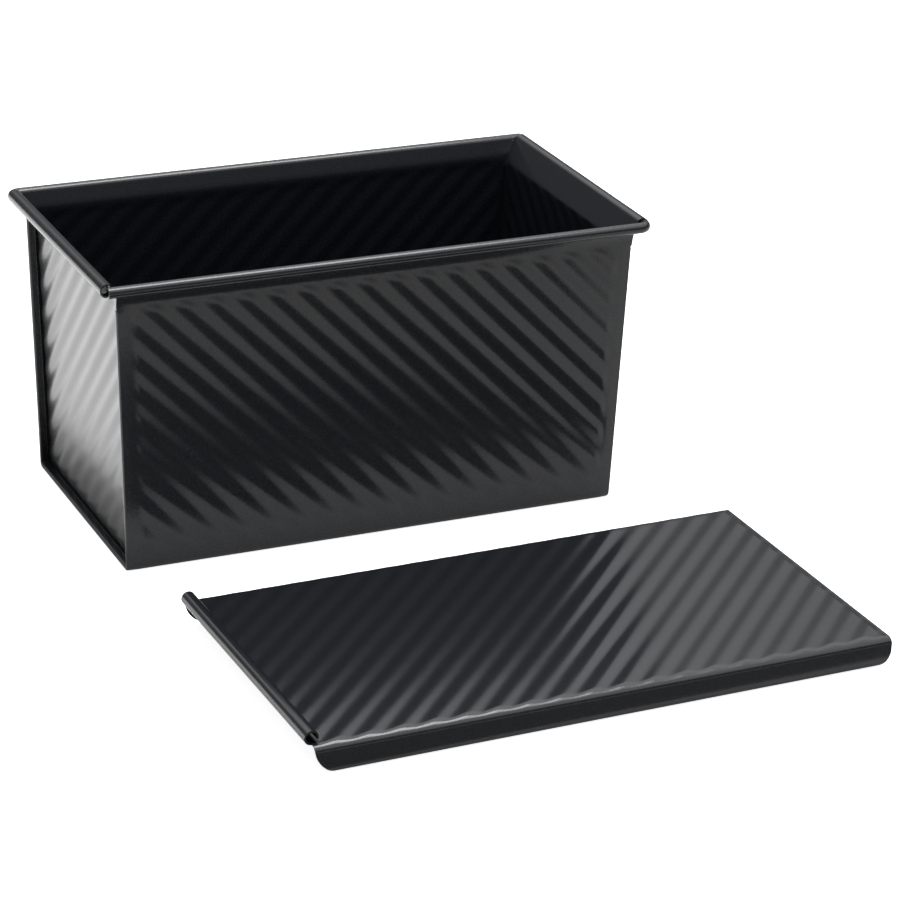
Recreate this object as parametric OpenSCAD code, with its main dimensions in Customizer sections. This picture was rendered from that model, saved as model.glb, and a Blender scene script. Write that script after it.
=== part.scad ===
/* [Pan] */
// outer length of the pan at its base, from hem edge to hem edge
base_length = 189.8; // [150:0.1:260]
// outer width of the pan at its base
base_width = 101.2; // [70:0.1:160]
// height of the rim wire's centre above the base
rim_height = 107.6; // [70:0.1:150]
// outward lean of the two ends, in degrees
end_lean = 2.0; // [0:0.1:5]
// outward lean of the two long walls, in degrees
side_lean = 0.5; // [0:0.1:2]
// thickness of the coated steel sheet
sheet = 0.6; // [0.4:0.05:0.9]
// outer radius of the two bends along the bottom
bend_radius = 2.2; // [2.2:0.1:6]

/* [Seams] */
// distance from a hem edge in to the flat of the end panel
end_recess = 3.4; // [3:0.1:6]
// width of the layer that folds back over the end panel's flange
hem_return = 2.6; // [1.5:0.1:2.9]
// room between the layers of a hem
seam_room = 0.05; // [0.02:0.01:0.1]
// room between a seam's end and what lies beside it
seam_play = 0.5; // [0.3:0.05:1]

/* [Rim] */
// diameter of the wire in the rim
wire_diameter = 2.6; // [1.8:0.1:4]
// radius of the wire loop's four corners, at the wire's centre
wire_corner = 3; // [2.8:0.1:5]
// room between the wire and the rolled bead around it
wire_room = 0.1; // [0.05:0.01:0.2]
// extra room beside the wire in the two short beads
short_bead_room = 0.5; // [0.2:0.05:1]
// how far a short bead's centre stands out from the hem edge below it
short_bead_reach = 3.4; // [2:0.05:5]
// how far a long bead's centre stands out from the wall below it
long_bead_reach = 3.2; // [2.6:0.05:4.5]
// outward lean of the sheet below the two short beads, in degrees
short_flare_lean = 31; // [20:1:40]
// outward lean of the sheet below the two long beads, in degrees
long_flare_lean = 19; // [12:1:35]
// room between two beads where they meet at a corner
corner_room = 0.1; // [0.05:0.01:0.3]
// depth of the wire's cut ends inside their beads
wire_recess = 1.5; // [0.5:0.1:3]
// room between a bead's cut edge and the sheet it curls back to
bead_gap = 0.12; // [0.05:0.01:0.4]

/* [Ribs] */
// distance from one rib to the next, square to the ribs
rib_pitch = 8; // [6:0.1:12]
// height of a rib above the flat sheet
rib_height = 0.45; // [0.3:0.05:1.2]
// length over which the ribs slope down towards the rims and the grip
rib_fade = 4; // [2:0.1:8]
// length over which the ribs slope down beside the seams and bends
seam_fade = 1.2; // [1:0.1:5]
// length over which the long walls' ribs slope down towards the base
foot_fade = 8; // [3:0.1:12]
// flat border between the end panels and the ribs of the other walls
wall_border = 0.3; // [0.2:0.1:8]
// flat border above and beside the bottom bends
foot_border = 1; // [0.5:0.1:8]
// flat border between an end panel's bends and its ribs
panel_border = 1; // [0.5:0.1:8]
// flat border below the rims
top_border = 6; // [4:0.1:14]

/* [Lid] */
// length of the lid, from the grip's centre to the open end
lid_length = 210.8; // [160:0.1:280]
// overall width of the lid
lid_width = 115.2; // [80:0.1:170]
// height of the lid's plate above its channels' lower faces
lid_height = 10.15; // [8:0.05:16]
// outer radius of the channels' upper bends
upper_bend = 2.4; // [1.6:0.1:3]
// outer radius of the channels' lower bends
lower_bend = 2; // [1.5:0.1:3]
// distance that a channel's lower flange reaches in
channel_flange = 3.4; // [3:0.1:3.8]
// radius of the channels' rounded lower corners at the open end
open_corner = 6; // [3:0.1:7]
// radius of the channels' rounded lower corners at the grip's end
grip_corner = 9.5; // [4:0.1:10]
// outer diameter of the curled grip
grip_diameter = 5; // [4:0.1:7]
// angle that the grip's curl turns through
grip_turn = 290; // [180:5:300]
// room between the grip's ends and the channels' faces
grip_inset = 3; // [2.6:0.1:20]
// flat border at the lid's open end
lid_border = 3; // [2:0.1:10]

/* [Place of the lid] */
// position of the lid's middle along the pan
lid_x = 15.95; // [-60:0.1:60]
// distance from the pan's middle to the lid's middle
lid_y = 153.1; // [130:0.1:220]
// turn of the lid on the table, in degrees
lid_yaw = 0.92; // [-5:0.01:5]

/* [Hidden] */
$fn = 48;

coating = "#1d1e20";
steel = "#8d8f92";

// steps of an outline's bends, of a rolled bead, and of one rib
arc_steps = 6;
bead_steps = 24;
rib_steps = 8;
// turn of the ribs on a sheet, and the place of one crest on each sheet
rib_turn = 45;
front_crest = 2.1;
bottom_crest = 2.1;
panel_crest = 2.7;
lid_crest = 1.9;
// depth by which a groove's floor dips into the flat sheet
groove_dip = 0.01;
// share of the third harmonic that draws the ribs' round wave towards straight flanks
flank_share = 1 / 12;
far = 400;

wire_radius = wire_diameter / 2;
long_bead = wire_radius + wire_room + sheet;
short_bead = long_bead + short_bead_room;
half_base = base_length / 2;
half_width = base_width / 2;
layer = sheet + seam_room;
hem = 2 * layer + sheet;
bend = max(bend_radius, hem + sheet / 3);

// outer half length and half width of the pan at height z
function end_at(z) = half_base + z * tan(end_lean);
function side_at(z) = half_width + z * tan(side_lean);

short_bead_x = end_at(rim_height) + short_bead_reach;
wire_x = short_bead_x + short_bead_room;
wire_y = side_at(rim_height) + long_bead_reach;
corner_x = wire_x - wire_corner;
corner_y = wire_y - wire_corner;
// ends of the beads: a long bead runs past the short one at its open end, which stops behind it
long_bead_end = wire_x;
short_bead_end = wire_y - long_bead - corner_room;
short_bead_start = corner_y - corner_room;

panel_x = half_base - end_recess / cos(end_lean);
panel_back = panel_x - sheet / cos(end_lean);
rib_end = panel_back - wall_border;

// height at which the sheet below a bead bends away from a wall, whose face crosses the base
// at x0 and leans by lean; reach is the bead's centre, and its inner face lies at distance
function flare_z(distance, reach, x0, lean, flare) =
    (distance + rim_height * sin(flare) - (reach - x0) * cos(flare))
    / (sin(flare) - tan(lean) * cos(flare));
function short_flare_z(distance, x0) = flare_z(distance, short_bead_x, x0, end_lean, short_flare_lean);
function long_flare_z(distance, x0) = flare_z(distance, wire_y, x0, side_lean, long_flare_lean);
hem_top = short_flare_z(short_bead - sheet, panel_x) - seam_play;
flare_width = side_at(hem_top) - hem - seam_play;
wing_width = side_at(hem_top) - sheet - seam_play;

// angle that a bead of a given outer radius turns through
function bead_turn(radius) = 360 - acos(1 - (sheet + bead_gap) / radius);

function reverse(points) = [for (i = [len(points) - 1:-1:0]) points[i]];
function mirrored(points) = [for (p = reverse(points)) [-p[0], p[1]]];
// points of an arc about c, from angle a to angle b
function arc(c, r, a, b, steps) =
    [for (i = [0:steps]) let (t = a + (b - a) * i / steps) c + r * [cos(t), sin(t)]];
// outline of a sheet curled round c, from the outside of angle a back to its inside
function curl(c, radius, a, turn) = concat(
    arc(c, radius, a, a + turn, bead_steps),
    arc(c, radius - sheet, a + turn, a, bead_steps));

// bottom bend of the pan's cross section, at a distance inside the outer face
function side_y(inside, z) = -side_at(z) + inside / cos(side_lean);
function foot_bend(inside) = arc([side_y(bend, bend), bend], bend - inside, 180 + side_lean, 270, arc_steps);
function both_sides(half) = concat(half, mirrored(half));

// extrudes a cross section of the pan along its length
module along_x(length) {
    rotate([90, 0, 90])
        linear_extrude(length, center = true)
            children();
}

// extrudes an outline seen from the pan's long side across its width
module along_y(width) {
    rotate([90, 0, 0])
        linear_extrude(width, center = true)
            children();
}

// everything within the pan's cross section, at a distance inside its outer face
module section_block(inside, top) {
    along_x(far)
        polygon(both_sides(concat([[side_y(inside, top), top]], foot_bend(inside))));
}

// block between two planes that lean with the right end and cross the base at x1 and x2
module leaning_slab(x1, x2) {
    rise = far * tan(end_lean);
    along_y(far)
        polygon([[x1 - rise, -far], [x2 - rise, -far], [x2 + rise, far], [x1 + rise, far]]);
}

module both_ends() {
    children();
    rotate(180)
        children();
}

// height and slope of the ribs' wave at a distance s across them
function wave(s) =
    let (t = 360 * s / rib_pitch)
    rib_height / 2 * (1 + (cos(t) + flank_share * cos(3 * t)) / (1 + flank_share));
function wave_slope(s) =
    let (t = 360 * s / rib_pitch)
    -rib_height * PI / rib_pitch * (sin(t) + 3 * flank_share * sin(3 * t)) / (1 + flank_share);
function wave_point(s, depth) =
    let (slope = wave_slope(s), n = sqrt(1 + slope * slope))
    [s + depth * slope / n, wave(s) - depth / n];

// ribs over a reach to both sides, with their faces at a depth below the wave
module rib_wave(reach, turn, crest, depth) {
    count = ceil(reach / rib_pitch) * rib_steps;
    floor_depth = depth + sheet / 2;
    points = [for (i = [-count:count]) wave_point(i * rib_pitch / rib_steps, depth)];
    rotate([90, 0, turn])
        linear_extrude(far, center = true)
            translate([crest, 0])
                polygon(concat(
                    [[points[0][0], -floor_depth]],
                    points,
                    [[points[2 * count][0], -floor_depth]]));
}

// everything on the near side of a slope that meets the flat sheet at x = edge
module slope_block(edge, lean, fade, depth) {
    run = fade / rib_height;
    inset = depth * sqrt(1 + run * run);
    floor = groove_dip - depth;
    low = -3 * sheet;
    high = 2 * rib_height;
    translate([edge, 0, 0])
        rotate(-lean)
            along_y(2 * far)
                polygon([
                    [-far, low],
                    [-inset - floor * run, low],
                    [-inset - floor * run, floor],
                    [-inset - high * run, high],
                    [-far, high]]);
}

// ribbed field on the plane z = 0: fades are given as [ends, bottom, top]
module rib_field(half_length, lean, bottom, top, fades, turn, crest, depth) {
    reach = (half_length + max(abs(bottom), abs(top))) * sin(rib_turn) + rib_pitch;
    intersection() {
        rib_wave(reach, turn, crest, depth);
        slope_block(half_length, lean, fades[0], depth);
        mirror([1, 0, 0])
            slope_block(half_length, lean, fades[0], depth);
        rotate(-90)
            slope_block(-bottom, 0, fades[1], depth);
        rotate(90)
            slope_block(top, 0, fades[2], depth);
    }
}

// ribs of the two long walls, raised outwards
module long_wall_ribs(depth) {
    both_ends()
        translate([0, -half_width, 0])
            rotate([90 + side_lean, 0, 0])
                rib_field(rib_end, end_lean, bend + foot_border, rim_height - top_border,
                    [seam_fade, foot_fade, rib_fade], rib_turn, front_crest, depth);
}

// ribs of the bottom, raised inwards so that the base stays flat
module bottom_ribs(depth) {
    field = half_width - bend - foot_border;
    translate([0, 0, sheet])
        rib_field(rib_end, 0, -field, field,
            [seam_fade, seam_fade, seam_fade], -rib_turn, bottom_crest, depth);
}

// hem at the right end: the sheet's edge, folded inwards over the end panel's flange
module hem_fold() {
    intersection() {
        leaning_slab(half_base - hem_return, half_base);
        difference() {
            section_block(0, hem_top);
            intersection() {
                section_block(sheet, far);
                leaning_slab(half_base - far, half_base - sheet);
                difference() {
                    cube(2 * far, center = true);
                    section_block(2 * layer, far);
                }
            }
            section_block(hem, far);
        }
    }
}

// outline of the front bead about a centre
function long_curl(centre) = curl(centre, long_bead, long_flare_lean, bead_turn(long_bead));

// front bead beyond the wall's left end, cut open there
module open_bead(lap) {
    length = long_bead_end - half_base + lap;
    translate([-long_bead_end + length / 2, 0, 0])
        along_x(length)
            polygon(long_curl([-wire_y, rim_height]));
}

// front bead beyond the wall's right end and round the corner of the rim
module corner_bead(lap) {
    profile = mirrored(long_curl([-wire_corner, 0]));
    translate([corner_x, -corner_y, rim_height])
        rotate(-90) {
            rotate_extrude(angle = 90)
                polygon(profile);
            rotate([90, 0, 0])
                linear_extrude(corner_x - half_base + lap)
                    polygon(profile);
        }
}

// cross section of the sheet: walls, flares and beads
module body_section() {
    back_z = long_flare_z(long_bead, half_width - sheet / cos(side_lean));
    face_z = long_flare_z(long_bead - sheet, half_width);
    half = concat(
        [[side_y(sheet, back_z), back_z]],
        long_curl([-wire_y, rim_height]),
        [[side_y(0, face_z), face_z]],
        foot_bend(0));
    polygon(concat(both_sides(half), reverse(both_sides(foot_bend(sheet)))));
}

module body_sheet() {
    lap = 2 * long_bead;
    color(coating)
        difference() {
            union() {
                intersection() {
                    along_x(far)
                        body_section();
                    along_y(far)
                        polygon([
                            [-half_base, 0],
                            [half_base, 0],
                            [end_at(far), far],
                            [-end_at(far), far]]);
                }
                both_ends() {
                    hem_fold();
                    open_bead(lap);
                    corner_bead(lap);
                }
                long_wall_ribs(groove_dip);
                bottom_ribs(groove_dip);
            }
            long_wall_ribs(sheet + groove_dip);
            bottom_ribs(sheet + groove_dip);
        }
}

// ribs of the right end panel, raised outwards
module panel_ribs(depth) {
    field = half_width - bend - panel_border;
    translate([panel_x, 0, 0])
        rotate([0, end_lean, 0])
            rotate([90, 0, 90])
                rib_field(field, 0, bend + panel_border, rim_height - top_border,
                    [seam_fade, seam_fade, rib_fade], -rib_turn, panel_crest, depth);
}

// outline of the right short bead
function short_curl() =
    curl([short_bead_x, rim_height], short_bead, 180 - short_flare_lean, -bead_turn(short_bead));

// flared top of the right end panel with its rolled bead
module panel_flare(half_length, low_z) {
    back_z = short_flare_z(short_bead, panel_back);
    face_z = short_flare_z(short_bead - sheet, panel_x);
    along_y(2 * half_length)
        polygon(concat(
            [[panel_back + low_z * tan(end_lean), low_z], [panel_back + back_z * tan(end_lean), back_z]],
            short_curl(),
            [[panel_x + face_z * tan(end_lean), face_z], [panel_x + low_z * tan(end_lean), low_z]]));
}

// right short bead, from beside the corner bead to behind the open end of the back bead
module short_bead_run() {
    translate([0, (short_bead_end - short_bead_start) / 2, 0])
        along_y(short_bead_end + short_bead_start)
            polygon(short_curl());
}

module end_panel() {
    difference() {
        union() {
            difference() {
                intersection() {
                    leaning_slab(panel_back, half_base - layer);
                    section_block(layer, hem_top);
                }
                intersection() {
                    leaning_slab(panel_x, far);
                    section_block(layer + sheet, far);
                }
            }
            panel_flare(flare_width, hem_top - bend);
            panel_flare(wing_width, hem_top + seam_play / 2);
            short_bead_run();
            panel_ribs(groove_dip);
        }
        panel_ribs(sheet + groove_dip);
    }
}

module right_end_panel() {
    color(coating)
        end_panel();
}

module left_end_panel() {
    color(coating)
        rotate(180)
            end_panel();
}

// straight run of wire beside a corner's centre, towards the back
module wire_run(length) {
    translate([0, length, 0])
        rotate([90, 0, 0])
            linear_extrude(length)
                translate([wire_corner, 0])
                    circle(wire_radius);
}

// wire in the front bead, round the right corner and in the right short bead
module bent_wire() {
    long_run = corner_x + long_bead_end - wire_recess;
    translate([corner_x, -corner_y, rim_height]) {
        wire_run(corner_y + short_bead_end - wire_recess);
        rotate(-90) {
            translate([0, -long_run, 0])
                wire_run(long_run);
            rotate_extrude(angle = 90)
                translate([wire_corner, 0])
                    circle(wire_radius);
        }
    }
}

// two bent wires in the four beads, whose cut ends lie in the open corners
module rim_wire() {
    color(steel)
        both_ends()
            bent_wire();
}

// right half of the lid's cross section, at a distance inside its outer face
function channel_line(inside) =
    let (x = lid_width / 2)
    concat(
        [[x - channel_flange, inside]],
        arc([x - lower_bend, lower_bend], lower_bend - inside, 270, 360, arc_steps),
        arc([x - upper_bend, lid_height - upper_bend], upper_bend - inside, 0, 90, arc_steps));

// lid's plate with a channel along each long edge, rounded at its lower corners
module lid_sheet() {
    end = lid_length / 2;
    intersection() {
        along_x(far)
            polygon(concat(both_sides(channel_line(0)), reverse(both_sides(channel_line(sheet)))));
        along_y(far)
            polygon(concat(
                arc([grip_corner - end, grip_corner], grip_corner, 180, 270, 2 * arc_steps),
                arc([end - open_corner, open_corner], open_corner, 270, 360, arc_steps),
                [[end, 2 * lid_height], [-end, 2 * lid_height]]));
    }
}

// curled grip at the lid's left end
module grip() {
    end = lid_length / 2;
    radius = grip_diameter / 2;
    along_y(lid_width - 2 * grip_inset)
        polygon(concat(
            [[rib_fade - end, lid_height], [rib_fade - end, lid_height - sheet]],
            curl([-end, lid_height - sheet + radius], radius, 270, -grip_turn)));
}

// ribs of the lid, raised upwards
module lid_ribs(depth) {
    end = lid_length / 2;
    field = lid_width / 2 - upper_bend;
    middle = (grip_diameter / 2 - lid_border) / 2;
    translate([middle, 0, lid_height])
        rib_field(end - (lid_border + grip_diameter / 2) / 2, 0, -field, field,
            [seam_fade, seam_fade, seam_fade], -rib_turn, lid_crest - middle * cos(rib_turn), depth);
}

module lid() {
    color(coating)
        translate([lid_x, -lid_y, 0])
            rotate(lid_yaw)
                difference() {
                    union() {
                        lid_sheet();
                        grip();
                        lid_ribs(groove_dip);
                    }
                    lid_ribs(sheet + groove_dip);
                }
}

body_sheet();
left_end_panel();
right_end_panel();
rim_wire();
lid();
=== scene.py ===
"""Loaf pan of ribbed, coated steel sheet with a sliding lid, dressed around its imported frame."""

import math

import bpy
import numpy as np
from mathutils import Matrix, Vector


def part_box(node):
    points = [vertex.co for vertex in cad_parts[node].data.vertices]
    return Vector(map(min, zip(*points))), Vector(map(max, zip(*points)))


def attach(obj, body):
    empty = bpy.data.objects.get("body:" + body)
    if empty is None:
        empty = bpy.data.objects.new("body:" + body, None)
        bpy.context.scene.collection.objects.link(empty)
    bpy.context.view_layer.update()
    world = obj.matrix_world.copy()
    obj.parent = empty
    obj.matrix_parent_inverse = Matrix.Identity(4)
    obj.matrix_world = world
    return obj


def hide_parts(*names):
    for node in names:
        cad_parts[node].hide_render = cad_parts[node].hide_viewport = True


bl_info = {
    "name": "Ribbed loaf pan",
    "version": (1, 0, 0),
    "blender": (4, 5, 0),
    "location": "3D View > Sidebar > Loaf pan",
    "description": "Builds a ribbed loaf pan, its sliding lid and a plain studio around the packed frame",
    "category": "Object",
}

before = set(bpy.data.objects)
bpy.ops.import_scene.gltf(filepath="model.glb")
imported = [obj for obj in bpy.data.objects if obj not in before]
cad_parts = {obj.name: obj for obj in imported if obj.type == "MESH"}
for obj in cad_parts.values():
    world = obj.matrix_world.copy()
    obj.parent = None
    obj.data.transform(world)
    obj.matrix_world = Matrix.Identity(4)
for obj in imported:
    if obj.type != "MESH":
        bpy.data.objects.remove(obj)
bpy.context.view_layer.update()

MM = 0.001
# Mesh steps on the sheets, on the flares and near the edges, and how far in the fine ones reach
GRID_STEP = 1.0 * MM
FLARE_STEP = 0.7 * MM
EDGE_STEP = 0.55 * MM
EDGE_REACH = 8.8 * MM
PANEL_EDGE_REACH = 4.4 * MM
# Steps round a rolled bead, a rim corner and a hem's folded edge, and sides of the wire
BEAD_STEPS = 44
CORNER_STEPS = 12
HEM_STEPS = 14
WIRE_SIDES = 24
# Faces that meet at more than this angle have a sharp edge
SHARP_ANGLE = math.radians(40)
# Softening of a flare's lower bend, and the inner fillet round an end panel
KNEE_REACH = 1.5 * MM
FILLET = 0.8 * MM
# Share of the third harmonic that draws the ribs' round wave towards straight flanks
FLANK_SHARE = 1 / 12
# Squareness of a hem's folded edge: 1 is round, less is squarer
HEM_SQUARENESS = 0.6
# Height over which the long walls' pressed-in edges end below the flare, and how they curve in
PRESS_REACH = 5 * MM
PRESS_CURVE = 1.3
# Length over which the lid's ribs run out in its upper bends
LID_EDGE_FADE = 2.5 * MM
# Height of the two cards above the table
CARD_LIFT = 0.5 * MM

WIRE_LOW, WIRE_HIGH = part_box("rim_wire")
WIRE_RADIUS = (WIRE_HIGH.z - WIRE_LOW.z) / 2
RIM_HEIGHT = (WIRE_HIGH.z + WIRE_LOW.z) / 2
WIRE_X = WIRE_HIGH.x - WIRE_RADIUS
WIRE_Y = WIRE_HIGH.y - WIRE_RADIUS


def size(name, description, millimetres):
    """A length property whose default is given in millimetres."""
    return bpy.props.FloatProperty(
        name=name, description=description, default=millimetres * MM, unit="LENGTH", precision=5)


def angle(name, description, degrees):
    """An angle property whose default is given in degrees."""
    return bpy.props.FloatProperty(
        name=name, description=description, default=math.radians(degrees), subtype="ANGLE")


def colour(name, description, hex_value):
    """A colour property whose default is an sRGB hex value."""
    return bpy.props.FloatVectorProperty(
        name=name, description=description, default=linear(hex_value), subtype="COLOR", size=3,
        min=0, max=1)


def level(name, description, value):
    """A property for a strength or another number that isn't negative."""
    return bpy.props.FloatProperty(name=name, description=description, default=value, min=0)


def linear(hex_value):
    """Linear RGB of an sRGB hex value such as '#1A1B1D'."""
    channels = [int(hex_value[i:i + 2], 16) / 255 for i in (1, 3, 5)]
    return tuple(c / 12.92 if c <= 0.04045 else ((c + 0.055) / 1.055) ** 2.4 for c in channels)


class PanSizes(bpy.types.PropertyGroup):
    """Sizes of the pan's sheet, seams, rim and ribs."""

    base_length: size("Base length", "Outer length at the base, over the hem edges", 189.8)
    base_width: size("Base width", "Outer width at the base", 101.2)
    end_lean: angle("End lean", "Outward lean of the two ends", 2.0)
    side_lean: angle("Side lean", "Outward lean of the two long walls", 0.5)
    sheet: size("Sheet", "Thickness of the coated sheet", 0.6)
    bend: size("Bend", "Outer radius of the bends along the bottom", 2.2)
    end_recess: size("End recess", "From a hem edge in to the flat of the end panel", 3.4)
    hem_return: size("Hem return", "Width of the layer folded back over the flange", 2.6)
    hem_radius: size("Hem radius", "Radius of the rounded edge of a hem", 0.95)
    hem_dip: size("Hem dip", "How far the long walls' edges are pressed in at the hems", 0.3)
    seam_room: size("Seam room", "Room between the layers of a hem", 0.05)
    seam_play: size("Seam play", "Room between a seam's end and what lies beside it", 0.5)
    wire_corner: size("Wire corner", "Radius of the bend in each wire", 3.0)
    wire_room: size("Wire room", "Room between the wire and the long beads", 0.1)
    short_bead_room: size("Short bead room", "Extra room beside the wire in the short beads", 0.5)
    wing_play: size("Wing play", "Room between an end panel's wings and the long walls", 0.15)
    short_flare: angle("Short flare", "Outward lean of the sheet below the short beads", 31)
    long_flare: angle("Long flare", "Outward lean of the sheet below the long beads", 19)
    corner_room: size("Corner room", "Room between two beads where they meet at a corner", 0.1)
    wire_recess: size("Wire recess", "Depth of the wire's cut ends inside their beads", 1.5)
    bead_gap: size("Bead gap", "Room between a bead's cut edge and its sheet", 0.12)
    rib_pitch: size("Rib pitch", "Distance from one rib to the next", 8.0)
    rib_height: size("Rib height", "Height of a rib above the flat sheet", 0.45)
    rib_fade: size("Rib fade", "Length over which ribs slope down towards the rims", 4.0)
    seam_fade: size("Seam fade", "Length over which ribs slope down beside seams and bends", 1.2)
    wall_fade: size("Wall fade", "Length over which the long walls' ribs slope down to the seams", 3.5)
    foot_fade: size("Foot fade", "Length over which the long walls' ribs slope down to the base", 8.0)
    wall_border: size("Wall border", "Flat border beside the end panels", 0.3)
    foot_border: size("Foot border", "Flat border beside the bottom bends", 1.0)
    panel_border: size("Panel border", "Flat border between an end panel's bends and its ribs", 1.0)
    top_border: size("Top border", "Flat border below the rims", 6.0)
    front_crest: size("Front crest", "Place of one rib's crest on the long walls", 2.1)
    bottom_crest: size("Bottom crest", "Place of one rib's crest on the bottom", 2.1)
    panel_crest: size("Panel crest", "Place of one rib's crest on the end panels", 2.7)


class LidSizes(bpy.types.PropertyGroup):
    """Sizes of the lid and its place on the table."""

    length: size("Length", "From the grip's centre to the open end", 210.8)
    width: size("Width", "Overall width", 115.2)
    height: size("Height", "Height of the plate above the channels' lower faces", 10.15)
    upper_bend: size("Upper bend", "Outer radius of the channels' upper bends", 2.4)
    lower_bend: size("Lower bend", "Outer radius of the channels' lower bends", 2.0)
    flange: size("Flange", "Reach of a channel's lower flange", 3.4)
    open_corner: size("Open corner", "Radius of the channels' corners at the open end", 6.0)
    grip_corner: size("Grip corner", "Radius of the channels' corners at the grip", 9.5)
    grip_radius: size("Grip radius", "Outer radius of the curled grip", 2.5)
    grip_turn: angle("Grip turn", "Angle that the grip's curl turns through", 290)
    grip_inset: size("Grip inset", "Room between the grip's ends and the channels' faces", 3.0)
    open_border: size("Open border", "Flat border at the open end", 1.2)
    edge_reach: size("Edge reach", "How far the ribs run on into the upper bends", 1.5)
    crest: size("Crest", "Place of one rib's crest", 1.9)
    x: size("X", "Place of the lid's middle along the pan", 15.95)
    y: size("Y", "Place of the lid's middle across the pan", -153.1)
    yaw: angle("Turn", "Turn of the lid on the table", 0.92)


class Finish(bpy.types.PropertyGroup):
    """Colours of the coating, the wire and the studio."""

    coating: colour("Coating", "Baked black non-stick coating", "#101216")
    wire: colour("Wire", "Bare drawn steel wire", "#8D8F92")
    floor: colour("Floor", "Plain pale table", "#DCDCDC")


class Studio(bpy.types.PropertyGroup):
    """Camera and plain soft lights."""

    camera_place: bpy.props.FloatVectorProperty(
        name="Camera place", description="Where the camera stands", subtype="TRANSLATION", size=3,
        default=(-0.4427, -1.07547, 0.5115), precision=5)
    camera_turn: bpy.props.FloatVectorProperty(
        name="Camera turn", description="Pitch, roll and heading of the camera", subtype="EULER", size=3,
        default=(math.radians(66.8348), math.radians(-1.7038), math.radians(-23.9724)))
    lens: bpy.props.FloatProperty(
        name="Lens", description="Focal length on a 36 mm wide sensor", default=135.05, min=1)
    softbox_power: level("Softbox power", "Power of the overhead softbox in watts", 14)
    soft_light: level("Soft light", "Strength of the even light from all round", 0.6)
    low_shine: level("Low shine", "Strength of the backdrop in reflections towards the horizon", 0.2)
    high_shine: level("High shine", "Strength of the backdrop in reflections of what is overhead", 2.2)
    low_rise: level("Low rise", "Upward part of a direction where the backdrop starts to brighten", 0.34)
    high_rise: level("High rise", "Upward part of a direction where it is brightest", 0.62)
    floor_glow: level("Floor glow", "Strength that turns the table white for the camera", 0.8)
    floor_shine: level("Floor shine", "Strength of the table's glow in reflections", 0.05)
    reflector_power: level("Reflector power", "Strength of the bright reflector", 2.4)


def smooth(t):
    """Smooth step from 0 to 1 as t goes from 0 to 1."""
    t = np.clip(t, 0, 1)
    return t * t * (3 - 2 * t)


def spaced(a, b, step):
    """Evenly spaced values from a to b, about a step apart."""
    return np.linspace(a, b, max(2, int(round(abs(b - a) / step)) + 1))


def edge_spaced(typical_half, reach):
    """Function that spaces columns over a half length, finer within a reach of both edges.

    Their number follows a typical half length, so that rows of any length join.
    """
    fine = int(round(reach / EDGE_STEP)) + 1
    coarse = int(round(2 * (typical_half - reach) / GRID_STEP)) + 1

    def place(half):
        rim = half - np.linspace(0, reach, fine)
        inner = np.linspace(-rim[-1], rim[-1], coarse)
        return np.concatenate([-rim[:-1], inner, rim[:-1][::-1]])
    return place


def rib_wave(s, sizes):
    """Height of the ribs' wave, which has nearly straight flanks, at a distance s across them."""
    t = 2 * math.pi * s / sizes.rib_pitch
    return sizes.rib_height / 2 * (1 + (np.cos(t) + FLANK_SHARE * np.cos(3 * t)) / (1 + FLANK_SHARE))


def arc(centre, radius, start, end, steps):
    """Points of an arc with the directions from its centre."""
    t = np.linspace(start, end, steps + 1)
    directions = np.stack([np.cos(t), np.sin(t)], 1)
    return np.array(centre) + radius * directions, directions


def bead_turn(radius, sizes):
    """Angle that a rolled bead of an outer radius turns through."""
    return 2 * math.pi - math.acos(1 - (sizes.sheet + sizes.bead_gap) / radius)


class Patches:
    """Collects grids of points that share their borders and turns them into one sheet."""

    def __init__(self):
        self.points = []
        self.faces = []
        self.count = 0

    def add(self, grid):
        """Adds a grid of points, an array of rows by columns by 3, whose faces look outwards."""
        rows, columns = grid.shape[:2]
        index = self.count + np.arange(rows * columns).reshape(rows, columns)
        quads = np.stack([index[:-1, :-1], index[1:, :-1], index[1:, 1:], index[:-1, 1:]], -1)
        self.points.append(grid.reshape(-1, 3))
        self.faces.append(quads.reshape(-1, 4))
        self.count += rows * columns

    def build(self, name, thickness):
        """Joins the patches, gives them their thickness inwards and returns the object."""
        mesh = bpy.data.meshes.new(name)
        mesh.from_pydata(np.concatenate(self.points).tolist(), [], np.concatenate(self.faces).tolist())
        piece = bpy.data.objects.new(name, mesh)
        bpy.context.scene.collection.objects.link(piece)
        weld = piece.modifiers.new("join", "WELD")
        weld.merge_threshold = 0.01 * MM
        shell = piece.modifiers.new("sheet", "SOLIDIFY")
        shell.thickness = thickness
        shell.offset = -1
        shell.use_even_offset = True
        shell.use_quality_normals = True
        return settle(piece)


def settle(piece):
    """Applies a piece's modifiers and shades it smooth, with its cut edges sharp."""
    evaluated = piece.evaluated_get(bpy.context.evaluated_depsgraph_get())
    mesh = bpy.data.meshes.new_from_object(evaluated)
    piece.modifiers.clear()
    old, piece.data = piece.data, mesh
    bpy.data.meshes.remove(old)
    mesh.name = piece.name
    mesh.shade_smooth()
    mesh.set_sharp_from_angle(angle=SHARP_ANGLE)
    return piece


def dress(piece, material, body, node):
    """Gives a piece its material and its place in the frame."""
    piece.data.materials.clear()
    piece.data.materials.append(material)
    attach(piece, body)
    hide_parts(node)


def half_turned(grid):
    """The same grid turned by half a turn about the pan's middle."""
    return grid * np.array([-1, -1, 1])


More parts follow.
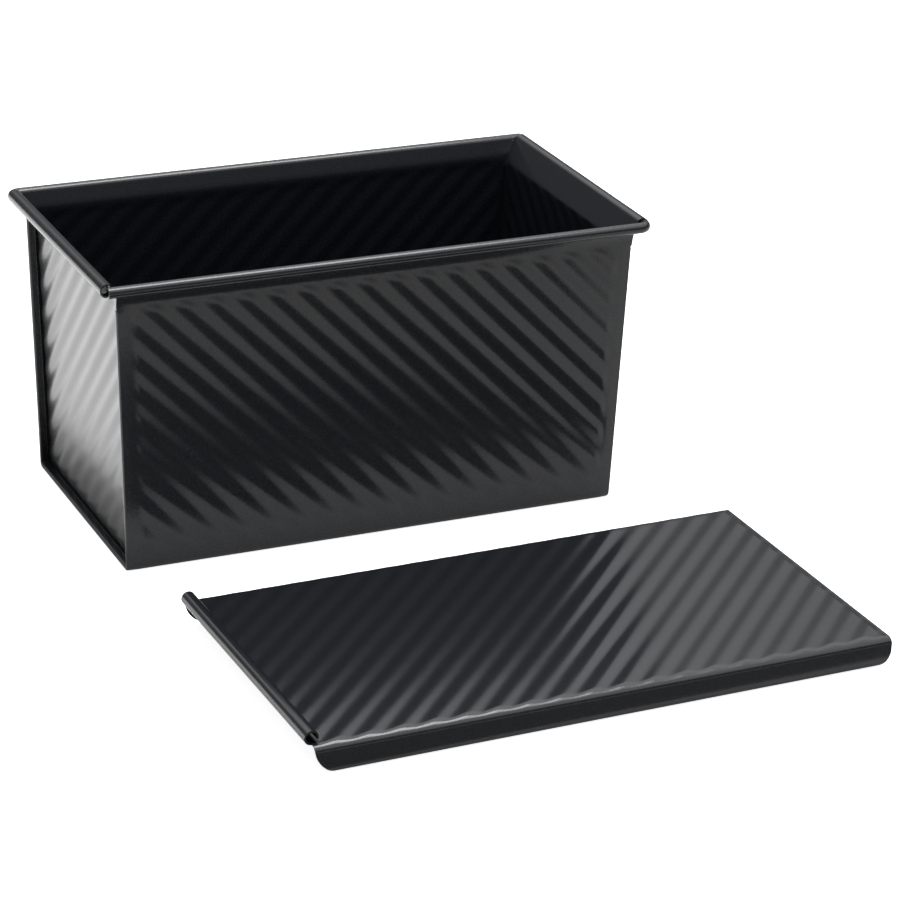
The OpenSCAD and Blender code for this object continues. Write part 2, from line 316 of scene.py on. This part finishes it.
class PanForm:
    """Derived places of the pan, all in metres."""

    def __init__(self, sizes):
        self.half_length = sizes.base_length / 2
        self.half_width = sizes.base_width / 2
        self.layer = sizes.sheet + sizes.seam_room
        self.hem = 2 * self.layer + sizes.sheet
        self.long_bead = WIRE_RADIUS + sizes.wire_room + sizes.sheet
        self.short_bead = self.long_bead + sizes.short_bead_room
        self.short_bead_x = WIRE_X - sizes.short_bead_room
        self.corner_x = WIRE_X - sizes.wire_corner
        self.corner_y = WIRE_Y - sizes.wire_corner
        self.end_slope = math.tan(sizes.end_lean)
        self.side_slope = math.tan(sizes.side_lean)
        self.panel_x = self.half_length - sizes.end_recess / math.cos(sizes.end_lean)
        self.panel_back = self.panel_x - sizes.sheet / math.cos(sizes.end_lean)
        self.rib_end = self.panel_back - sizes.wall_border
        self.long_bead_end = WIRE_X
        self.short_bead_end = WIRE_Y - self.long_bead - sizes.corner_room
        self.short_bead_start = self.corner_y - sizes.corner_room
        self.short_knee = knee_height(
            self.short_bead - sizes.sheet, self.short_bead_x - self.panel_x, self.end_slope,
            sizes.short_flare)
        self.long_knee = knee_height(
            self.long_bead - sizes.sheet, WIRE_Y - self.half_width, self.side_slope, sizes.long_flare)
        self.hem_top = self.short_knee - sizes.seam_play
        self.flare_widening = math.tan(sizes.long_flare) - self.side_slope

    def end_at(self, z):
        """Half length over the hem edges at a height."""
        return self.half_length + z * self.end_slope

    def side_at(self, z):
        """Half width over the long walls at a height."""
        return self.half_width + z * self.side_slope

    def wing_at(self, z, sizes):
        """Half width of the end panels' flared wings, which end close beside the long walls."""
        inside = self.side_at(z) - sizes.sheet + max(z - self.long_knee, 0) * self.flare_widening
        return inside - sizes.wing_play


def knee_height(distance, reach, slope, flare):
    """Height at which the sheet below a bead bends away from a wall of a given slope.

    The bead's centre stands out by reach from the wall's foot, and by distance from the flare.
    """
    return (distance + RIM_HEIGHT * math.sin(flare) - reach * math.cos(flare)) / (
        math.sin(flare) - slope * math.cos(flare))


def flare_points(top, knee, down):
    """Points from a bead down its flare and round the softened knee, to where the wall begins."""
    along = knee - top
    length = np.linalg.norm(along)
    along /= length
    flare = top + spaced(0, length - KNEE_REACH, FLARE_STEP)[1:, None] * along
    t = np.linspace(0, 1, 6)[1:, None]
    start, end = knee - KNEE_REACH * along, knee + KNEE_REACH * down
    bow = (1 - t) ** 2 * start + 2 * t * (1 - t) * knee + t * t * end
    return np.concatenate([flare, bow])


def wall_section(sizes, form):
    """Front half of the pan's section, from the bead's cut edge to the bottom's middle.

    Returns places, outward directions and the height up the wall, row by row.
    """
    lean, bend = sizes.side_lean, sizes.bend
    turn = bead_turn(form.long_bead, sizes)
    bead, inward = arc((-WIRE_Y, RIM_HEIGHT), form.long_bead - sizes.sheet,
                       sizes.long_flare + turn, sizes.long_flare, BEAD_STEPS)
    along = np.array([-math.sin(lean), math.cos(lean)])
    knee = np.array([-form.side_at(form.long_knee), form.long_knee])
    flare = flare_points(bead[-1], knee, -along)
    slope = np.gradient(np.concatenate([bead[-1:], flare]), axis=0)[1:]
    slope /= np.linalg.norm(slope, axis=1, keepdims=True)
    flare_out = np.stack([slope[:, 1], -slope[:, 0]], 1)
    centre = np.array([-form.side_at(bend) + bend / math.cos(lean), bend])
    foot_height = bend * (1 - math.sin(lean)) / math.cos(lean)
    up = spaced(flare[-1, 1] / math.cos(lean), foot_height, GRID_STEP)[1:]
    wall = np.array([-form.half_width, 0]) + up[:, None] * along
    outward = np.array([-math.cos(lean), -math.sin(lean)])
    curve, curve_out = arc(centre, bend, math.pi + lean, 1.5 * math.pi, 8)
    middle = spaced(centre[0], 0, GRID_STEP)[1:]
    places = np.concatenate([bead, flare, wall, curve[1:], np.stack([middle, 0 * middle], 1)])
    directions = np.concatenate([
        -inward, flare_out, np.repeat(outward[None], len(wall), 0), curve_out[1:],
        np.repeat(np.array([[0.0, -1.0]]), len(middle), 0)])
    height = np.concatenate([
        np.full(len(bead) + len(flare), np.nan), up, np.full(len(curve) - 1 + len(middle), np.nan)])
    return places, directions, height


def long_wall_height(x, up, sizes, form):
    """Height of the long walls' ribs, and their pressed-in edges, at x and a height up the wall."""
    ribs = rib_wave((x + up) / math.sqrt(2) - sizes.front_crest, sizes)
    ends = form.rib_end + up * form.end_slope - np.abs(x)
    ribs *= smooth(ends / sizes.wall_fade)
    ribs *= smooth((up - sizes.bend - sizes.foot_border) / sizes.foot_fade)
    ribs *= smooth((RIM_HEIGHT - sizes.top_border - up) / sizes.rib_fade)
    return ribs


def body_grid(sizes, form):
    """Rows of the sheet's front half, from the bead's cut edge to the bottom's middle."""
    places, directions, height = wall_section(sizes, form)
    columns = edge_spaced(form.half_length, EDGE_REACH)
    edge_width = form.half_length - sizes.hem_radius - form.rib_end
    half_rows = []
    for (y, z), (ny, nz), up in zip(places, directions, height):
        folded = z <= form.hem_top
        half = form.end_at(z) - folded * sizes.hem_radius
        x = columns(half)
        lift = np.zeros_like(x)
        if not np.isnan(up):
            lift = long_wall_height(x, up, sizes, form)
        near_edge = (np.abs(x) - form.rib_end - max(z, 0) * form.end_slope) / edge_width
        press = -ny * smooth((form.long_knee - z) / PRESS_REACH)
        lift = lift - press * sizes.hem_dip * np.clip(near_edge, 0, None) ** PRESS_CURVE
        half_rows.append((x, y, z, ny, nz, lift, folded))
    return half_rows


class PAN_OT_body_sheet(bpy.types.Operator):
    """Front wall, bottom and back wall in one sheet, with its rolled beads and hems"""

    bl_idname = "loaf_pan.body_sheet"
    bl_label = "Body sheet"

    def execute(self, context):
        sizes = context.scene.loaf_pan_sizes
        form = PanForm(sizes)
        half_rows = body_grid(sizes, form)
        patches = Patches()
        front = [np.stack([x, y + ny * lift, z + nz * lift], 1) for x, y, z, ny, nz, lift, _ in half_rows]
        back = [row[::-1] * np.array([-1, -1, 1]) for row in front[::-1]]
        rows = np.array(front[:-1] + back)
        rows = self.raise_bottom(rows, sizes, form)
        patches.add(rows)
        for turned in (False, True):
            self.add_hem(patches, half_rows, sizes, form, turned)
            self.add_corner(patches, half_rows, form, turned)
        piece = patches.build("pan_body", sizes.sheet)
        dress(piece, coating_material(context), "pan", "body_sheet")
        return {"FINISHED"}

    def raise_bottom(self, rows, sizes, form):
        """Raises the bottom's ribs into the pan."""
        x, y, z = rows[..., 0], rows[..., 1], rows[..., 2]
        field = form.half_width - sizes.bend - sizes.foot_border
        ribs = rib_wave((x - y) / math.sqrt(2) - sizes.bottom_crest, sizes)
        ribs *= smooth((form.rib_end - np.abs(x)) / sizes.seam_fade)
        ribs *= smooth((field - np.abs(y)) / sizes.seam_fade)
        rows[..., 2] = z + np.where(z < 1e-9, ribs, 0)
        return rows

    def add_hem(self, patches, half_rows, sizes, form, turned):
        """Folds the sheet's edge round at both ends of one half of the section."""
        turn = np.linspace(0, math.pi, HEM_STEPS + 1)
        reach = np.concatenate([
            sizes.hem_radius * np.abs(np.sin(turn)) ** HEM_SQUARENESS,
            -np.linspace(0, sizes.hem_return - sizes.hem_radius, 4)[1:]])
        across = np.sign(np.cos(turn)) * np.abs(np.cos(turn)) ** HEM_SQUARENESS
        share = np.concatenate([(1 - across) / 2, np.ones(3)])
        for end in (-1, 1):
            grid = []
            for x, y, z, ny, nz, lift, folded in half_rows:
                if not folded:
                    continue
                edge, start = (x[0], lift[0]) if end < 0 else (x[-1], lift[-1])
                depth = start - share * (start + form.hem)
                grid.append(np.stack([edge + end * reach, y + ny * depth, z + nz * depth], 1))
            grid = np.array(grid)
            if end < 0:
                grid = grid[:, ::-1]
            patches.add(half_turned(grid) if turned else grid)

    def add_corner(self, patches, half_rows, form, turned):
        """Carries the rolled bead past the wall: to its open end, and round the rim's corner."""
        turn = np.linspace(0, math.pi / 2, CORNER_STEPS + 1)
        open_end, corner = [], []
        for x, y, z, *_ in half_rows[:BEAD_STEPS + 1]:
            out = np.linspace(-form.long_bead_end, x[0], 5)
            radius = -y - form.corner_y
            open_end.append(np.stack([out, np.full_like(out, y), np.full_like(out, z)], 1))
            corner.append(np.concatenate([
                [(x[-1], y, z)],
                np.stack([
                    form.corner_x + radius * np.sin(turn),
                    -form.corner_y - radius * np.cos(turn),
                    np.full_like(turn, z)], 1)]))
        for grid in (np.array(open_end), np.array(corner)):
            patches.add(half_turned(grid) if turned else grid)


def panel_section(sizes, form):
    """Section of the right end panel, from its bead's cut edge to the bottom fold."""
    a = math.pi - sizes.short_flare
    turn = bead_turn(form.short_bead, sizes)
    bead, _ = arc((form.short_bead_x, RIM_HEIGHT), form.short_bead - sizes.sheet, a - turn, a, BEAD_STEPS)
    down = -np.array([form.end_slope, 1.0])
    down /= np.linalg.norm(down)
    knee = np.array([form.panel_x + form.short_knee * form.end_slope, form.short_knee])
    flare = flare_points(bead[-1], knee, down)
    foot = form.layer + sizes.sheet + FILLET
    length = (flare[-1, 1] - foot) / -down[1]
    plate = flare[-1] + spaced(0, length, GRID_STEP)[1:, None] * down
    return np.concatenate([bead, flare, plate])


class PAN_OT_end_panels(bpy.types.Operator):
    """Ribbed end panels with their flanges and rolled beads"""

    bl_idname = "loaf_pan.end_panels"
    bl_label = "End panels"

    def execute(self, context):
        sizes = context.scene.loaf_pan_sizes
        form = PanForm(sizes)
        grids = self.panel_grids(sizes, form)
        for side, panel in (("right", "right_end_panel"), ("left", "left_end_panel")):
            patches = Patches()
            for grid in grids:
                patches.add(half_turned(grid) if side == "left" else grid)
            piece = patches.build("pan_" + side + "_end", sizes.sheet)
            dress(piece, coating_material(context), "pan", panel)
        return {"FINISHED"}

    def panel_grids(self, sizes, form):
        """The bead, flare and plate in one grid, the bead's two ends, and the flange."""
        columns = edge_spaced(form.half_width, PANEL_EDGE_REACH)
        rows = []
        inset = form.layer + sizes.sheet + FILLET
        corner = sizes.bend - inset
        for i, (x, z) in enumerate(panel_section(sizes, form)):
            if i <= BEAD_STEPS:
                half = form.short_bead_start - sizes.wing_play
            elif z > form.hem_top:
                half = form.wing_at(z, sizes)
            else:
                half = form.side_at(z) - inset
            y = columns(half)
            lift = self.rib_lift(y, z, sizes, form) if z < form.short_knee else 0 * y
            rows.append(np.stack([x + lift, y, np.full_like(y, z)], 1))
        rows = np.array(rows)
        self.round_corners(rows, sizes, form, corner)
        tray = [i for i, row in enumerate(rows) if row[0, 2] <= form.hem_top]
        loop = np.concatenate([rows[tray, 0], rows[-1, 1:-1], rows[tray[::-1], -1]])
        bead = rows[:BEAD_STEPS + 1]
        front, back = np.array(bead[:, :2]), np.array(bead[:, -2:])
        front[:, 1], front[:, 0, 1] = bead[:, 0], -form.short_bead_start
        back[:, 0], back[:, 1, 1] = bead[:, -1], form.short_bead_end
        return rows, front, back, self.flange(loop, form)

    def rib_lift(self, y, z, sizes, form):
        """Height of the end panels' ribs."""
        ribs = rib_wave((y - z) / math.sqrt(2) - sizes.panel_crest, sizes)
        side = form.half_width - sizes.bend - sizes.panel_border + z * form.side_slope
        ribs *= smooth((side - np.abs(y)) / sizes.seam_fade)
        ribs *= smooth((z - sizes.bend - sizes.panel_border) / sizes.seam_fade)
        ribs *= smooth((RIM_HEIGHT - sizes.top_border - z) / sizes.rib_fade)
        return ribs

    def round_corners(self, rows, sizes, form, corner):
        """Draws the plate's two square lower corners in to the bends' radius."""
        centre_y = form.side_at(sizes.bend) - sizes.bend
        offset_y = np.abs(rows[..., 1]) - centre_y
        offset_z = sizes.bend - rows[..., 2]
        distance = np.hypot(offset_y, offset_z)
        outside = (offset_y > 0) & (offset_z > 0) & (distance > corner)
        shrink = np.where(outside, corner / np.maximum(distance, 1e-9), 1)
        rows[..., 1] = np.where(outside, np.sign(rows[..., 1]) * (centre_y + offset_y * shrink), rows[..., 1])
        rows[..., 2] = np.where(outside, sizes.bend - offset_z * shrink, rows[..., 2])

    def flange(self, loop, form):
        """Fillet and flange that stand out from the loop round the plate."""
        step = np.gradient(loop[:, 1:], axis=0)
        out = np.stack([step[:, 1], -step[:, 0]], 1)
        out /= np.maximum(np.linalg.norm(out, axis=1, keepdims=True), 1e-9)
        turn = np.linspace(0, math.pi / 2, 6)
        outward = FILLET * np.sin(turn)
        forward = FILLET * (1 - np.cos(turn))
        grid = []
        for point, direction in zip(loop, out):
            end_x = form.end_at(point[2]) - form.layer
            run = np.linspace(point[0] + FILLET, end_x, 4)[1:]
            x = np.concatenate([point[0] + forward, run])
            side = np.concatenate([outward, np.full(3, FILLET)])
            grid.append(np.stack([x, point[1] + side * direction[0], point[2] + side * direction[1]], 1))
        return np.array(grid)[:, ::-1]


class PAN_OT_rim_wire(bpy.types.Operator):
    """Two bent steel wires in the rolled rim"""

    bl_idname = "loaf_pan.rim_wire"
    bl_label = "Rim wire"

    def execute(self, context):
        sizes = context.scene.loaf_pan_sizes
        form = PanForm(sizes)
        turn = np.linspace(0, math.pi / 2, 9)
        line = np.stack([
            form.corner_x + sizes.wire_corner * np.sin(turn),
            -form.corner_y - sizes.wire_corner * np.cos(turn)], 1)
        line = np.concatenate([
            [(sizes.wire_recess - form.long_bead_end, -WIRE_Y)], line,
            [(WIRE_X, form.short_bead_end - sizes.wire_recess)]])
        out = np.concatenate([[(0.0, -1.0)], np.stack([np.sin(turn), -np.cos(turn)], 1), [(1.0, 0.0)]])
        around = np.linspace(0, 2 * math.pi, WIRE_SIDES + 1)[:-1]
        rings = np.array([
            [(p[0] + WIRE_RADIUS * math.cos(t) * n[0], p[1] + WIRE_RADIUS * math.cos(t) * n[1],
              RIM_HEIGHT + WIRE_RADIUS * math.sin(t)) for t in around]
            for p, n in zip(line, out)])
        count, sides = rings.shape[:2]
        faces = [
            (i * sides + j, (i + 1) * sides + j,
             (i + 1) * sides + (j + 1) % sides, i * sides + (j + 1) % sides)
            for i in range(count - 1) for j in range(sides)]
        faces += [tuple(range(sides)), tuple(reversed(range((count - 1) * sides, count * sides)))]
        faces += [tuple(i + count * sides for i in face) for face in faces]
        points = np.concatenate([rings, half_turned(rings)]).reshape(-1, 3)
        mesh = bpy.data.meshes.new("rim_wires")
        mesh.from_pydata(points.tolist(), [], faces)
        piece = bpy.data.objects.new("rim_wires", mesh)
        context.scene.collection.objects.link(piece)
        mesh.shade_smooth()
        mesh.set_sharp_from_angle(angle=SHARP_ANGLE)
        dress(piece, wire_material(context), "pan", "rim_wire")
        return {"FINISHED"}


def lid_section(lid):
    """Section of the lid from the front channel's tip to the back one's, with its directions.

    The last value is the distance along the section from its middle.
    """
    half = lid.width / 2
    tip = np.array([[-half + lid.flange, 0.0]])
    low, low_out = arc((-half + lid.lower_bend, lid.lower_bend), lid.lower_bend, 1.5 * math.pi, math.pi, 7)
    face = spaced(lid.lower_bend, lid.height - lid.upper_bend, GRID_STEP)[1:]
    high, high_out = arc(
        (-half + lid.upper_bend, lid.height - lid.upper_bend), lid.upper_bend, math.pi, math.pi / 2, 9)
    plate = spaced(-half + lid.upper_bend, 0, GRID_STEP)[1:]
    places = np.concatenate([
        tip, low, np.stack([np.full_like(face, -half), face], 1), high[1:],
        np.stack([plate, np.full_like(plate, lid.height)], 1)])
    directions = np.concatenate([
        [[0, -1]], low_out, np.repeat([[-1.0, 0.0]], len(face), 0), high_out[1:],
        np.repeat([[0.0, 1.0]], len(plate), 0)])
    back = places[:-1][::-1] * np.array([-1, 1])
    back_out = directions[:-1][::-1] * np.array([-1, 1])
    places, directions = np.concatenate([places, back]), np.concatenate([directions, back_out])
    step = np.linalg.norm(np.diff(places, axis=0), axis=1)
    along = np.concatenate([[0], np.cumsum(step)])
    return places, directions, along - along[-1] / 2


class PAN_OT_lid(bpy.types.Operator):
    """Sliding lid with its ribs, its two channels and the curled grip"""

    bl_idname = "loaf_pan.lid"
    bl_label = "Lid"

    def execute(self, context):
        sizes, lid = context.scene.loaf_pan_sizes, context.scene.loaf_lid_sizes
        places, directions, along = lid_section(lid)
        end = lid.length / 2
        plate_half = lid.width / 2 - lid.upper_bend
        columns = edge_spaced(end, EDGE_REACH)
        rows, gripped = [], []
        for (w, z), (nw, nz), s in zip(places, directions, along):
            left = -end + self.corner_cut(z, lid.grip_corner)
            right = end - self.corner_cut(z, lid.open_corner)
            u = (left + right) / 2 + columns((right - left) / 2)
            lift = rib_wave((u - s) / math.sqrt(2) - lid.crest, sizes)
            lift *= smooth((u + end - lid.grip_radius) / sizes.seam_fade)
            lift *= smooth((end - lid.open_border - u) / sizes.seam_fade)
            lift *= smooth((plate_half + lid.edge_reach - abs(s)) / LID_EDGE_FADE)
            rows.append(np.stack([u, w + nw * lift, z + nz * lift], 1))
            gripped.append(abs(w) <= lid.width / 2 - lid.grip_inset and nz > 0.99)
        rows = np.array(rows)
        patches = Patches()
        patches.add(self.placed(rows, lid)[:, ::-1])
        patches.add(self.placed(self.grip(rows[gripped, 0], sizes, lid), lid)[:, ::-1])
        piece = patches.build("lid_sheet", sizes.sheet)
        dress(piece, coating_material(context), "lid", "lid")
        return {"FINISHED"}

    def corner_cut(self, z, radius):
        """How far a rounded lower corner is set back at a height z."""
        below = max(radius - max(z, 0), 0)
        return radius - math.sqrt(radius ** 2 - below ** 2)

    def grip(self, edge, sizes, lid):
        """Curl that starts at the plate's left edge and turns up and over."""
        inner = lid.grip_radius - sizes.sheet
        curl, _ = arc((-lid.length / 2, lid.height + inner), inner, 1.5 * math.pi - lid.grip_turn,
                      1.5 * math.pi, 40)
        return np.array([[(u, w, z) for u, z in curl] for _, w, _ in edge])

    def placed(self, grid, lid):
        """Moves a grid from the lid's own frame to its place on the table."""
        c, s = math.cos(lid.yaw), math.sin(lid.yaw)
        x, y, z = grid[..., 0], grid[..., 1], grid[..., 2]
        return np.stack([lid.x + c * x - s * y, lid.y + s * x + c * y, z], -1)


def node(tree, kind, inputs=None, **settings):
    """Adds a node of a kind with its settings, and sets or links its inputs by name or number."""
    made = tree.nodes.new(kind)
    for key, value in settings.items():
        setattr(made, key, value)
    for key, value in (inputs or {}).items():
        if isinstance(value, bpy.types.NodeSocket):
            tree.links.new(value, made.inputs[key])
        else:
            made.inputs[key].default_value = value
    return made


def new_material(name):
    """A material with an empty node tree, and that tree; or the material made before and None."""
    found = bpy.data.materials.get(name)
    if found:
        return found, None
    material = bpy.data.materials.new(name)
    material.use_nodes = True
    material.node_tree.nodes.clear()
    return material, material.node_tree


def coating_material(context):
    """Polyester non-stick coating, sprayed on steel sheet and baked.

    Gives a near-black semi-gloss skin: soft reflections, a faint orange peel and fine grains.
    """
    material, tree = new_material("baked_polyester_nonstick_coating")
    if tree is None:
        return material
    place = node(tree, "ShaderNodeTexCoord").outputs["Object"]
    peel_scale = 1 / (1.6 * MM)
    grain_scale = 1 / (0.5 * MM)
    sway_scale = 1 / (38 * MM)
    peel = node(tree, "ShaderNodeTexNoise", {"Vector": place, "Scale": peel_scale, "Detail": 2.0})
    grain = node(tree, "ShaderNodeTexNoise", {"Vector": place, "Scale": grain_scale, "Detail": 1.0})
    sway = node(tree, "ShaderNodeTexNoise", {"Vector": place, "Scale": sway_scale, "Detail": 1.0})
    swayed = node(tree, "ShaderNodeBump", {
        "Height": sway.outputs["Fac"], "Distance": 0.12 * MM, "Strength": 1.0})
    peeled = node(tree, "ShaderNodeBump", {
        "Height": peel.outputs["Fac"], "Distance": 0.01 * MM, "Strength": 1.0,
        "Normal": swayed.outputs["Normal"]})
    grained = node(tree, "ShaderNodeBump", {
        "Height": grain.outputs["Fac"], "Distance": 0.012 * MM, "Strength": 1.0,
        "Normal": peeled.outputs["Normal"]})
    roughness = node(tree, "ShaderNodeMapRange", {
        "Value": peel.outputs["Fac"], "To Min": 0.16, "To Max": 0.24})
    base = (*context.scene.loaf_finish.coating, 1)
    flecks = node(tree, "ShaderNodeMapRange", {
        "Value": grain.outputs["Fac"], "From Min": 0.35, "From Max": 0.75, "To Min": 0.85, "To Max": 1.25})
    tint = node(tree, "ShaderNodeMix", {
        "Factor": 1.0, "A": base, "B": flecks.outputs["Result"]},
        data_type="RGBA", blend_type="MULTIPLY")
    shader = node(tree, "ShaderNodeBsdfPrincipled", {
        "Base Color": tint.outputs["Result"], "Roughness": 0.5, "IOR": 1.12,
        "Coat Weight": 0.85, "Coat Roughness": roughness.outputs["Result"], "Coat IOR": 1.46,
        "Normal": grained.outputs["Normal"], "Coat Normal": grained.outputs["Normal"]})
    node(tree, "ShaderNodeOutputMaterial", {"Surface": shader.outputs["BSDF"]})
    return material


def wire_material(context):
    """Low-carbon steel wire, drawn through a die.

    Gives a grey metal with fine lines along it and a dull, slightly stained sheen.
    """
    material, tree = new_material("drawn_steel_wire")
    if tree is None:
        return material
    place = node(tree, "ShaderNodeTexCoord").outputs["Object"]
    stain = node(tree, "ShaderNodeTexNoise", {"Vector": place, "Scale": 1 / (6 * MM), "Detail": 3.0})
    lines = node(tree, "ShaderNodeTexNoise", {"Vector": place, "Scale": 1 / (0.5 * MM), "Detail": 1.0})
    bump = node(tree, "ShaderNodeBump", {
        "Height": lines.outputs["Fac"], "Distance": 0.01 * MM, "Strength": 1.0})
    roughness = node(tree, "ShaderNodeMapRange", {
        "Value": stain.outputs["Fac"], "To Min": 0.35, "To Max": 0.55})
    shader = node(tree, "ShaderNodeBsdfPrincipled", {
        "Base Color": (*context.scene.loaf_finish.wire, 1), "Metallic": 1.0,
        "Roughness": roughness.outputs["Result"], "Normal": bump.outputs["Normal"]})
    node(tree, "ShaderNodeOutputMaterial", {"Surface": shader.outputs["BSDF"]})
    return material


def shown_rays(tree):
    """1 for rays from the camera and from glossy or clear surfaces, else 0."""
    path = node(tree, "ShaderNodeLightPath")
    first = node(tree, "ShaderNodeMath", {
        0: path.outputs["Is Camera Ray"], 1: path.outputs["Is Glossy Ray"]}, operation="MAXIMUM")
    return node(tree, "ShaderNodeMath", {
        0: first.outputs[0], 1: path.outputs["Is Transmission Ray"]}, operation="MAXIMUM").outputs[0]


def plane(name, width, depth, matrix):
    """A flat rectangle in its own XY plane."""
    mesh = bpy.data.meshes.new(name)
    w, d = width / 2, depth / 2
    mesh.from_pydata([(-w, -d, 0), (w, -d, 0), (w, d, 0), (-w, d, 0)], [], [(0, 1, 2, 3)])
    made = bpy.data.objects.new(name, mesh)
    made.matrix_world = matrix
    bpy.context.scene.collection.objects.link(made)
    return made


class PAN_OT_stage(bpy.types.Operator):
    """Floor, backdrop, lights and camera"""

    bl_idname = "loaf_pan.stage"
    bl_label = "Stage"

    def execute(self, context):
        self.floor(context)
        self.card(context)
        self.flag(context)
        self.world(context)
        self.softbox(context)
        self.camera(context)
        context.scene.view_settings.view_transform = "Standard"
        return {"FINISHED"}

    def floor(self, context):
        """Plain pale table that shows white."""
        made = plane("floor", 30, 30, Matrix.Identity(4))
        material, tree = new_material("matt_white_table")
        diffuse = node(tree, "ShaderNodeBsdfDiffuse", {"Color": (*context.scene.loaf_finish.floor, 1)})
        studio = context.scene.loaf_studio
        path = node(tree, "ShaderNodeLightPath")
        strength = node(tree, "ShaderNodeMath", {
            0: path.outputs["Is Camera Ray"], 1: studio.floor_glow, 2: studio.floor_shine},
            operation="MULTIPLY_ADD")
        glow = node(tree, "ShaderNodeEmission", {"Color": (1, 1, 1, 1), "Strength": strength.outputs[0]})
        dark = node(tree, "ShaderNodeEmission", {"Color": (1, 1, 1, 1), "Strength": 0.0})
        chosen = node(tree, "ShaderNodeMixShader", {
            0: shown_rays(tree), 1: dark.outputs[0], 2: glow.outputs[0]})
        both = node(tree, "ShaderNodeAddShader", {0: diffuse.outputs[0], 1: chosen.outputs[0]})
        node(tree, "ShaderNodeOutputMaterial", {"Surface": both.outputs[0]})
        made.data.materials.append(material)

    def card(self, context):
        """Bright reflector that lies on the table, left of the pan."""
        made = plane("reflector_card", 1.4, 2.6, Matrix.Translation((-0.81, 0.65, CARD_LIFT)))
        material, tree = new_material("bright_reflector")
        glow = node(tree, "ShaderNodeEmission", {
            "Color": (1, 1, 1, 1), "Strength": context.scene.loaf_studio.reflector_power})
        node(tree, "ShaderNodeOutputMaterial", {"Surface": glow.outputs[0]})
        made.data.materials.append(material)
        self.hide(made)

    def flag(self, context):
        """Grey card that lies on the table just in front of the lid: painted shade on the table, seen only in
        reflections.
        """
        made = plane("painted_shade_card", 0.26, 0.036, Matrix.Translation((0.014, -0.232, CARD_LIFT)))
        material, tree = new_material("matt_grey_card")
        # The card's grey is painted shade: it darkens the table's reflection in the lid's front.
        diffuse = node(tree, "ShaderNodeBsdfDiffuse", {"Color": (0.18, 0.18, 0.18, 1)})
        node(tree, "ShaderNodeOutputMaterial", {"Surface": diffuse.outputs[0]})
        made.data.materials.append(material)
        self.hide(made)

    def hide(self, made):
        """Leaves an object to be seen in reflections only."""
        made.visible_camera = False
        made.visible_diffuse = False
        made.visible_shadow = False

    def world(self, context):
        """White backdrop, soft light, and reflections that brighten upwards."""
        studio = context.scene.loaf_studio
        world = bpy.data.worlds.new("plain_studio")
        context.scene.world = world
        world.use_nodes = True
        tree = world.node_tree
        tree.nodes.clear()
        place = node(tree, "ShaderNodeTexCoord").outputs["Generated"]
        direction = node(tree, "ShaderNodeSeparateXYZ", {0: place})
        shine = node(tree, "ShaderNodeMapRange", {
            "Value": direction.outputs["Z"], "From Min": studio.low_rise, "From Max": studio.high_rise,
            "To Min": studio.low_shine, "To Max": studio.high_shine}, interpolation_type="SMOOTHSTEP")
        path = node(tree, "ShaderNodeLightPath")
        shown = node(tree, "ShaderNodeMath", {
            0: shine.outputs["Result"], 1: path.outputs["Is Camera Ray"]}, operation="MAXIMUM")
        soft = node(tree, "ShaderNodeBackground", {
            "Color": (1, 1, 1, 1), "Strength": studio.soft_light})
        white = node(tree, "ShaderNodeBackground", {
            "Color": (1, 1, 1, 1), "Strength": shown.outputs[0]})
        chosen = node(tree, "ShaderNodeMixShader", {
            0: shown_rays(tree), 1: soft.outputs[0], 2: white.outputs[0]})
        node(tree, "ShaderNodeOutputWorld", {"Surface": chosen.outputs[0]})

    def softbox(self, context):
        """Wide soft lamp overhead."""
        lamp = bpy.data.lights.new("overhead_softbox", "AREA")
        lamp.shape = "RECTANGLE"
        lamp.size, lamp.size_y = 0.7, 0.5
        lamp.energy = context.scene.loaf_studio.softbox_power
        made = bpy.data.objects.new("overhead_softbox", lamp)
        made.location = (0.1, -0.1, 1.0)
        made.visible_camera = False
        context.scene.collection.objects.link(made)

    def camera(self, context):
        """Camera at the photograph's place."""
        studio = context.scene.loaf_studio
        data = bpy.data.cameras.new("camera")
        data.sensor_width = 36
        data.lens = studio.lens
        data.clip_start, data.clip_end = 0.01, 50
        made = bpy.data.objects.new("camera", data)
        made.location = studio.camera_place
        made.rotation_euler = studio.camera_turn
        context.scene.collection.objects.link(made)
        context.scene.camera = made


OPERATORS = (PAN_OT_body_sheet, PAN_OT_end_panels, PAN_OT_rim_wire, PAN_OT_lid, PAN_OT_stage)


class PAN_PT_sidebar(bpy.types.Panel):
    """Lists the pan's pieces and the stage"""

    bl_idname = "PAN_PT_sidebar"
    bl_label = "Loaf pan"
    bl_space_type = "VIEW_3D"
    bl_region_type = "UI"
    bl_category = "Loaf pan"

    def draw(self, context):
        for operator in OPERATORS:
            self.layout.operator(operator.bl_idname)


GROUPS = (
    ("loaf_pan_sizes", PanSizes),
    ("loaf_lid_sizes", LidSizes),
    ("loaf_finish", Finish),
    ("loaf_studio", Studio),
)


def register():
    for name, group in GROUPS:
        bpy.utils.register_class(group)
        setattr(bpy.types.Scene, name, bpy.props.PointerProperty(type=group))
    for made in (*OPERATORS, PAN_PT_sidebar):
        bpy.utils.register_class(made)


def unregister():
    for made in reversed((*OPERATORS, PAN_PT_sidebar)):
        bpy.utils.unregister_class(made)
    for name, group in reversed(GROUPS):
        delattr(bpy.types.Scene, name)
        bpy.utils.unregister_class(group)


def main():
    register()
    bpy.ops.loaf_pan.body_sheet()
    bpy.ops.loaf_pan.end_panels()
    bpy.ops.loaf_pan.rim_wire()
    bpy.ops.loaf_pan.lid()
    bpy.ops.loaf_pan.stage()


if __name__ == "__main__":
    main()
